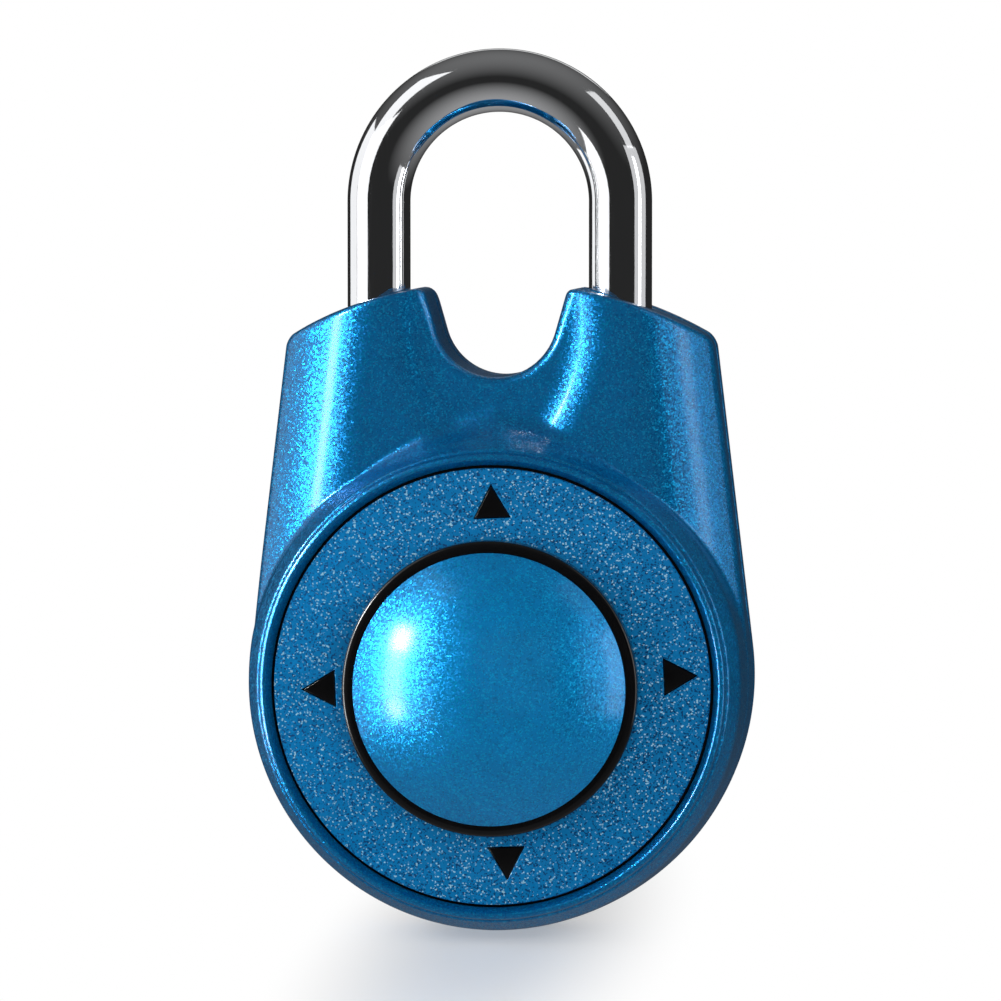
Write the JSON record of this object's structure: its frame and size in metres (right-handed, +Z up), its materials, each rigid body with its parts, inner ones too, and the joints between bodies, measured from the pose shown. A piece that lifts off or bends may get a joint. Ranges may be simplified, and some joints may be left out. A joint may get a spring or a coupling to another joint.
{
  "type": "directional combination padlock",
  "caption": "Flask-shaped blue metal padlock with a chrome shackle and a round domed knob that slides four ways, ringed by arrow marks.",
  "frame": {"origin": "the highest point inside the shackle's bow, on its centre plane, where the lock hangs from a hasp", "axes": "+X right as seen from the front, +Y towards the flat back (the knob faces -Y), +Z up the shackle"},
  "size_m": [0.0546, 0.0295, 0.0952],
  "materials": {
    "case_blue": "anodised blue, fine bead-blasted sparkle",
    "dial_blue": "metallic blue, grainy satin",
    "knob_blue": "metallic blue, satin",
    "chrome_steel": "polished chrome plate",
    "black_plastic": "moulded black",
    "acetal": "natural moulded acetal",
    "steel": "zinc plated",
    "brass": "plain machined"
  },
  "bodies": {
    "case": {"front_shell": "case_blue", "back_shell": "case_blue", "dial_plate": "dial_blue", "dial_carrier": "black_plastic", "guide_plate": "acetal", "mechanism_plate": "steel", "shackle_stop_pin": "steel", "shackle_spring": "steel", "fence_spring": "steel", "latch_spring": "steel", "centring_spring_up": "steel", "centring_spring_left": "steel", "centring_spring_down": "steel", "centring_spring_right": "steel", "wheel_axle_upper_left": "steel", "wheel_axle_upper_right": "steel", "wheel_axle_lower_left": "steel", "wheel_axle_lower_right": "steel", "mechanism_screw_1": "steel", "mechanism_screw_2": "steel", "mechanism_screw_3": "steel", "mechanism_screw_4": "steel", "case_rivet_1": "steel", "case_rivet_2": "steel", "case_rivet_3": "steel", "case_rivet_4": "steel"},
    "shackle": {"shackle": "chrome_steel"},
    "vertical_slide": {"vertical_slide": "acetal", "pawl_up": "steel", "pawl_down": "steel"},
    "cross_slide": {"cross_slide": "acetal", "pawl_left": "steel", "pawl_right": "steel"},
    "knob": {"knob_dome": "knob_blue", "knob_skirt": "black_plastic", "knob_stem": "acetal", "knob_retainer": "steel", "knob_screw": "steel", "dust_shutter": "black_plastic"},
    "fence": {"fence_plate": "steel"},
    "latch": {"latch_bolt": "steel"},
    "reset_slide": {"reset_button": "black_plastic", "reset_tongue": "steel"},
    "wheel_upper_left": {"ratchet_ring_upper_left": "acetal", "code_wheel_upper_left": "brass"},
    "wheel_upper_right": {"ratchet_ring_upper_right": "acetal", "code_wheel_upper_right": "brass"},
    "wheel_lower_left": {"ratchet_ring_lower_left": "acetal", "code_wheel_lower_left": "brass"},
    "wheel_lower_right": {"ratchet_ring_lower_right": "acetal", "code_wheel_lower_right": "brass"}
  },
  "joints": [
    {"name": "shackle_lift", "type": "slide", "parent": "case", "child": "shackle", "axis": [0, 0, 1], "range_m": [-0.0025, 0.0122], "deforming": ["shackle_spring"]},
    {"name": "knob_vertical", "type": "slide", "parent": "case", "child": "vertical_slide", "axis": [0, 0, 1], "range_m": [-0.003, 0.003], "stiffness_N_per_m": 500, "deforming": ["centring_spring_up", "centring_spring_down", "pawl_up", "pawl_down"]},
    {"name": "knob_horizontal", "type": "slide", "parent": "vertical_slide", "child": "knob", "axis": [1, 0, 0], "range_m": [-0.003, 0.003], "stiffness_N_per_m": 500},
    {"name": "cross_slide_shift", "type": "slide", "parent": "case", "child": "cross_slide", "axis": [1, 0, 0], "range_m": [-0.003, 0.003], "deforming": ["centring_spring_left", "centring_spring_right", "pawl_left", "pawl_right"]},
    {"name": "wheel_turn_upper_left", "type": "hinge", "parent": "case", "child": "wheel_upper_left", "pos_m": [-0.0086, -0.002, -0.05254], "axis": [0, 1, 0], "continuous": true},
    {"name": "wheel_turn_upper_right", "type": "hinge", "parent": "case", "child": "wheel_upper_right", "pos_m": [0.0086, -0.002, -0.05254], "axis": [0, 1, 0], "continuous": true},
    {"name": "wheel_turn_lower_left", "type": "hinge", "parent": "case", "child": "wheel_lower_left", "pos_m": [-0.0086, -0.002, -0.06974], "axis": [0, 1, 0], "continuous": true},
    {"name": "wheel_turn_lower_right", "type": "hinge", "parent": "case", "child": "wheel_lower_right", "pos_m": [0.0086, -0.002, -0.06974], "axis": [0, 1, 0], "continuous": true},
    {"name": "fence_drop", "type": "slide", "parent": "case", "child": "fence", "axis": [0, 0, -1], "range_m": [0, 0.0014], "stiffness_N_per_m": 300, "springref_m": -0.001, "deforming": ["fence_spring"]},
    {"name": "latch_throw", "type": "slide", "parent": "case", "child": "latch", "axis": [1, 0, 0], "range_m": [0, 0.0024], "deforming": ["latch_spring"]},
    {"name": "reset_shift", "type": "slide", "parent": "case", "child": "reset_slide", "axis": [1, 0, 0], "range_m": [0, 0.004]}
  ],
  "couplings": [
    {"joint": "cross_slide_shift", "follows": "knob_horizontal", "ratio": 1}
  ]
}
